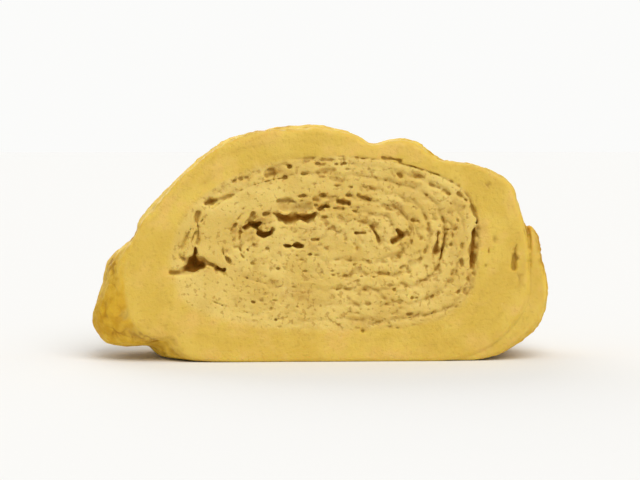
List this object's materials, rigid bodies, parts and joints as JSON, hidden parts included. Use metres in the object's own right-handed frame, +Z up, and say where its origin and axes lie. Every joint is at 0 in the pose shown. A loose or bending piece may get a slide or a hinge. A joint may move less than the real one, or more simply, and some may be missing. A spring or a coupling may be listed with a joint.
{
  "type": "rolled omelette slice",
  "caption": "Thick slice cut across a rolled omelette, standing on its long side, with the spiral of egg layers on both cut faces and fried golden skin round the rim.",
  "frame": {"origin": "bottom centre of the slice's box, in the flat spot that it stands on", "axes": "+Z up; +X across the width of the cut face, to the right as the shown face is looked at; +Y along the roll's axis, away from the shown face"},
  "size_m": [0.058, 0.0186, 0.0297],
  "materials": {
    "egg": "moist satin; golden fried skin on the rim, paler porous layers on the cut faces"
  },
  "bodies": {
    "root": {"omelette_slice": "egg"}
  },
  "joints": []
}
